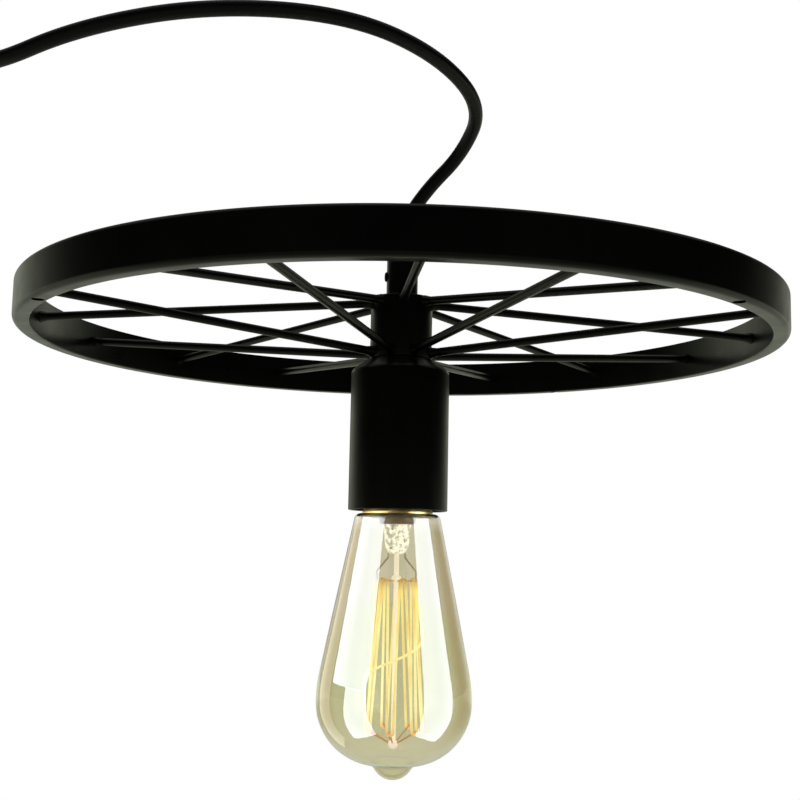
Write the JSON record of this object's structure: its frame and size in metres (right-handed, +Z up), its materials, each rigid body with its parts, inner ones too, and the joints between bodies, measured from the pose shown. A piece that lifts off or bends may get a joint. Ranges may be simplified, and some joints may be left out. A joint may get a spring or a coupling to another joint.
{
  "type": "pendant light",
  "caption": "Ceiling pendant light: a spoked steel wheel on a hub with a lampholder cup and a teardrop filament bulb below, hung on a round flex from a ceiling rose.",
  "frame": {"origin": "on the ceiling plane, midway between the two ceiling screws of the rose strap", "axes": "+Z up into the ceiling along the drop axis, +X along the strap, -Y towards the picture's camera"},
  "size_m": [0.3333, 0.302, 0.4883],
  "materials": {
    "black_powder_coat": "satin powder coat",
    "black_steel": "blackened steel screw",
    "zinc_steel": "zinc plated",
    "lamp_brass": "drawn, satin",
    "terminal_brass": "turned",
    "solder": "dull solder",
    "black_flex": "smooth PVC sheath",
    "live_sleeve": "brown core",
    "neutral_sleeve": "blue core",
    "phenolic": "moulded phenolic",
    "white_ceramic": "unglazed",
    "white_plastic": "moulded",
    "black_glass": "black vitrite",
    "amber_glass": "clear, amber tint",
    "clear_glass": "clear",
    "support_wire": "dark wire",
    "filament_wire": "glowing"
  },
  "bodies": {
    "ceiling_mount": {"ceiling_strap": "zinc_steel", "strap_studs": "zinc_steel", "terminal_block": "white_plastic", "block_screws": "terminal_brass", "rose_cord_end": "black_flex", "rose_live_core": "live_sleeve", "rose_neutral_core": "neutral_sleeve", "cord": "black_flex"},
    "rose_canopy": {"rose_cover": "black_powder_coat", "rose_grip": "black_powder_coat", "rose_grip_nut": "zinc_steel", "rose_grip_screw": "black_steel", "cap_nuts": "black_powder_coat"},
    "pendant": {"wheel_rim": "black_powder_coat", "upper_spoke_1": "black_powder_coat", "upper_spoke_2": "black_powder_coat", "upper_spoke_3": "black_powder_coat", "upper_spoke_4": "black_powder_coat", "upper_spoke_5": "black_powder_coat", "upper_spoke_6": "black_powder_coat", "upper_spoke_7": "black_powder_coat", "upper_spoke_8": "black_powder_coat", "lower_spoke_1": "black_powder_coat", "lower_spoke_2": "black_powder_coat", "lower_spoke_3": "black_powder_coat", "lower_spoke_4": "black_powder_coat", "lower_spoke_5": "black_powder_coat", "lower_spoke_6": "black_powder_coat", "lower_spoke_7": "black_powder_coat", "lower_spoke_8": "black_powder_coat", "hub_tube": "black_powder_coat", "hub_top_disc": "black_powder_coat", "hub_bottom_disc": "black_powder_coat", "threaded_nipple": "zinc_steel", "cord_grip": "black_powder_coat", "grip_screw": "black_steel", "cord_tail": "black_flex", "lampholder_cup": "black_powder_coat", "cup_washer": "zinc_steel", "cup_locknut": "zinc_steel", "holder_cap": "phenolic", "holder_body": "phenolic", "contact_block": "white_ceramic", "screw_shell": "lamp_brass", "centre_contact": "lamp_brass", "terminal_screws": "terminal_brass", "live_core": "live_sleeve", "neutral_core": "neutral_sleeve"},
    "lamp_button": {"bulb_contact": "solder"},
    "lamp": {"lamp_cap": "lamp_brass", "bulb_insulator": "black_glass", "bulb_glass": "amber_glass", "bulb_stem": "clear_glass", "lead_wires": "support_wire", "upper_supports": "support_wire", "lower_supports": "support_wire", "filament": "filament_wire"}
  },
  "joints": [
    {"name": "canopy_drop", "type": "slide", "parent": "ceiling_mount", "child": "rose_canopy", "axis": [0, 0, -1], "range_m": [0, 0.02]},
    {"name": "pendant_swing", "type": "hinge", "parent": "ceiling_mount", "child": "pendant", "pos_m": [0, 0, -0.281], "axis": [0, 1, 0], "range_deg": [-15, 15], "deforming": ["cord"]},
    {"name": "lamp_travel", "type": "slide", "parent": "pendant", "child": "lamp_button", "axis": [0, 0, -1], "range_m": [0, 0.01824]},
    {"name": "lamp_turn", "type": "hinge", "parent": "lamp_button", "child": "lamp", "pos_m": [0, 0, -0.37], "axis": [0, 0, -1], "range_deg": [0, 1800]}
  ],
  "couplings": [
    {"joint": "lamp_travel", "follows": "lamp_turn", "m_per_rad": 0.00057751}
  ]
}
